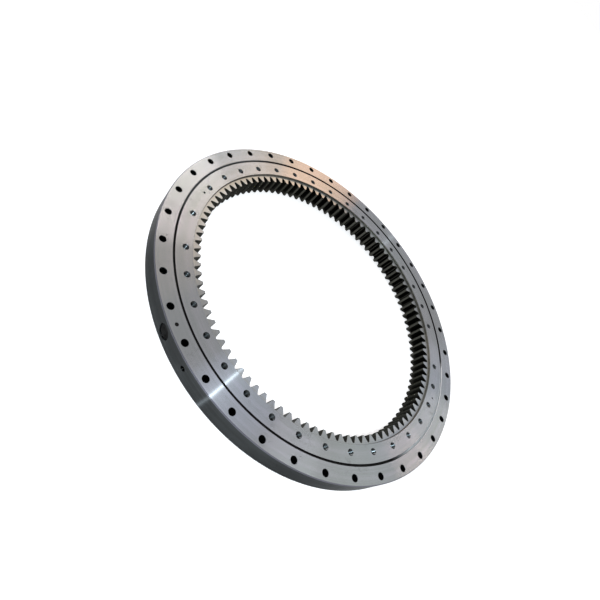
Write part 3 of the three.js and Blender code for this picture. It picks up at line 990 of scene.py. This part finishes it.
def inner_ring_finish(centre, normal):
    r, around, up = ring_surface(centre, normal)
    if r < ROOT_RADIUS + MM:
        if up > LEVEL:
            return GEAR_FACE
        return TIP if up > BEVELLED or r < TIP_RADIUS + TIP_BREAK else FLANK
    if up > LEVEL:
        return FACE if centre.z > GEAR_TOP_Z + MM or centre.z < MM else GEAR_FACE
    if r < STEP_RADIUS + EDGE_BREAK:
        return STEP
    if r > INNER_RADIUS - BALL_RADIUS and around < SQUARE:
        return race_or_gap(centre)
    return THREAD


def finish_by(obj, rule):
    """A material for each patch of obj by a rule on its centre and normal."""
    slots = {}
    for patch in obj.data.polygons:
        material = rule(patch.center, patch.normal)
        if material.name not in slots:
            slots[material.name] = len(slots)
            obj.data.materials.append(material)
        patch.material_index = slots[material.name]
    return obj


# ---------- assembly ----------

def place(obj, body, slot, *nodes):
    """The body that a finished piece moves with, its record slot, which is not used, and the CAD nodes that
    it stands for.
    """
    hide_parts(*nodes)
    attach(obj, body)


def in_one(obj, material):
    """The same object, all of it in one material."""
    obj.data.materials.append(material)
    return obj


place(finish_by(outer_ring(), outer_ring_finish), "outer_ring", "turned_steel", "outer_ring")
place(finish_by(inner_gear_ring(), inner_ring_finish), "inner_ring", "turned_steel", "inner_gear_ring")
place(in_one(ball_cage(), CAGE), "ball_cage", "strip_steel", "ball_cage")
place(in_one(upper_seal(), SEAL), "outer_ring", "seal_rubber", "upper_seal")
place(in_one(lower_seal(), SEAL), "inner_ring", "seal_rubber", "lower_seal")
place(in_one(loading_plug(), PLUG), "outer_ring", "plug_steel", "loading_plug")
place(in_one(taper_pin(), PIN), "outer_ring", "plug_steel", "plug_taper_pin")
for number, deg in enumerate(PORT_DEGS, 1):
    nipple = in_one(grease_nipple(number, deg), NIPPLE)
    place(nipple, "outer_ring", "plated_steel", f"grease_nipple_{number}")
shared_ball = ball_mesh()
shared_ball.materials.append(BALL)
for number in range(1, BALL_COUNT + 1):
    place(ball(shared_ball, number), f"ball_{number:02d}", "ball_steel", f"ball_{number:02d}")


# ---------- studio ----------

# The camera, fitted to the photo's bolt holes
AIM = Vector((0.22461, 0.03335, OUTER_TOP_Z))
CAMERA_BEARING_DEG = 35.139
CAMERA_ELEVATION_DEG = 43.207
CAMERA_DISTANCE = 1.45831
CAMERA_ROLL_DEG = 51.159
LENS = 27.03
SENSOR_WIDTH = 36.0
SHIFT_X = 0.0324
SHIFT_Y = -0.0076

# The floor, which glows from near to far between two distances from the axis
FLOOR_HALF_WIDTH = 60.0
FLOOR_DROP = 0.5 * MM
GLOW_START_RADIUS = 0.6
GLOW_END_RADIUS = 3.5
NEAR_GLOW = 0.6
FAR_GLOW = 1.0

# The sky turns from white to grey between two sines of the elevation
SKY_WHITE_BELOW = 0.10
SKY_GREY_ABOVE = 0.22


def away_from(centre, bearing_deg, elevation_deg, distance):
    """A point at a distance from centre, by its bearing angle and elevation."""
    a, e = math.radians(bearing_deg), math.radians(elevation_deg)
    return centre + distance * Vector((math.cos(e) * math.cos(a), math.cos(e) * math.sin(a), math.sin(e)))


def add_camera():
    data = bpy.data.cameras.new("camera")
    data.lens = LENS
    data.sensor_width = SENSOR_WIDTH
    data.shift_x = SHIFT_X
    data.shift_y = SHIFT_Y
    camera = bpy.data.objects.new("camera", data)
    bpy.context.scene.collection.objects.link(camera)
    camera.location = away_from(AIM, CAMERA_BEARING_DEG, CAMERA_ELEVATION_DEG, CAMERA_DISTANCE)
    facing = (AIM - camera.location).to_track_quat("-Z", "Y").to_matrix().to_4x4()
    facing = facing @ Matrix.Rotation(math.radians(CAMERA_ROLL_DEG), 4, "Z")
    camera.rotation_euler = facing.to_euler()
    bpy.context.scene.camera = camera


def floor():
    """A wide white sheet with the faint unevenness of painted board, glowing more away from the axis."""
    material, tree, shader = new_material("studio_white")
    position = node(tree, "ShaderNodeTexCoord").outputs["Object"]
    mottle = noise(tree, position, 3.0, detail=4.0)
    tree.links.new(mixed(tree, mottle, rgb(0.74), rgb(0.77)), shader.inputs["Base Color"])
    shader.inputs["Roughness"].default_value = 0.9
    shader.inputs["Emission Color"].default_value = rgb(1.0)
    away = node(tree, "ShaderNodeVectorMath", {0: position}, operation="LENGTH").outputs["Value"]
    glow = ramp(tree, away, GLOW_START_RADIUS, GLOW_END_RADIUS, NEAR_GLOW, FAR_GLOW)
    tree.links.new(glow, shader.inputs["Emission Strength"])
    half = FLOOR_HALF_WIDTH
    corners = [(-half, -half, 0), (half, -half, 0), (half, half, 0), (-half, half, 0)]
    sheet = new_object("floor", corners, [(0, 1, 2, 3)])
    sheet.location.z = -FLOOR_DROP
    sheet.data.materials.append(material)


def sky():
    """White low down all round, and a dim grey dome above."""
    world = bpy.data.worlds.new("studio")
    world.use_nodes = True
    bpy.context.scene.world = world
    tree = world.node_tree
    tree.nodes.clear()
    direction = node(tree, "ShaderNodeTexCoord").outputs["Generated"]
    up = node(tree, "ShaderNodeSeparateXYZ", {0: direction}).outputs[2]
    greying = ramp(tree, up, SKY_WHITE_BELOW, SKY_GREY_ABOVE)
    colour = mixed(tree, greying, rgb(1.0), rgb(0.44, (0.99, 1.0, 1.03)))
    background = node(tree, "ShaderNodeBackground", {"Color": colour, "Strength": 1.0})
    output = node(tree, "ShaderNodeOutputWorld")
    tree.links.new(background.outputs[0], output.inputs[0])


def area_light(name, bearing_deg, elevation_deg, distance, size, watts, colour):
    """A disc that faces the bearing's centre."""
    data = bpy.data.lights.new(name, "AREA")
    data.shape = "DISK"
    data.size = size
    data.energy = watts
    data.color = colour
    light = bpy.data.objects.new(name, data)
    bpy.context.scene.collection.objects.link(light)
    light.location = away_from(Vector((0, 0, 0)), bearing_deg, elevation_deg, distance)
    light.rotation_euler = (-light.location).to_track_quat("-Z", "Y").to_euler()


# A small bright key and wide soft discs: name, bearing angle, elevation, distance, size, watts, colour
LIGHTS = [
    ("key", 38.2, 48, 2.4, 0.028, 24, (0.76, 0.90, 1.0)),
    ("high_fill", 140, 62, 4, 1.1, 5.0, (0.87, 0.92, 1.0)),
    ("low_side", 155, 24, 4, 1.1, 11.4, (1.0, 0.81, 0.71)),
    ("side_low_white", 170, 24, 4, 1.1, 2.5, (1.0, 0.95, 0.77)),
    ("side_high_white", 170, 48, 4, 1.1, 0.9, (0.84, 1.0, 0.87)),
    ("far_cool", 185, 36, 4, 1.1, 0.9, (0.5, 0.7, 1.0)),
    ("far_high_cool", 200, 62, 4, 1.1, 1.8, (0.58, 0.7, 1.0)),
    ("far_amber", 230, 24, 4, 1.1, 2.8, (1.0, 0.38, 0.06)),
    ("far_warm", 230, 36, 4, 1.1, 3.8, (1.0, 0.74, 0.46)),
    ("low_window", 260, 12, 4, 1.9, 25, (0.79, 0.89, 1.0)),
    ("far_side", 260, 36, 4, 1.1, 5.1, (1.0, 0.98, 0.91)),
    ("window", 290, 36, 4, 1.4, 40, (1.0, 0.90, 0.88)),
]

add_camera()
floor()
sky()
for light_values in LIGHTS:
    area_light(*light_values)
bpy.context.scene.view_settings.view_transform = "Standard"
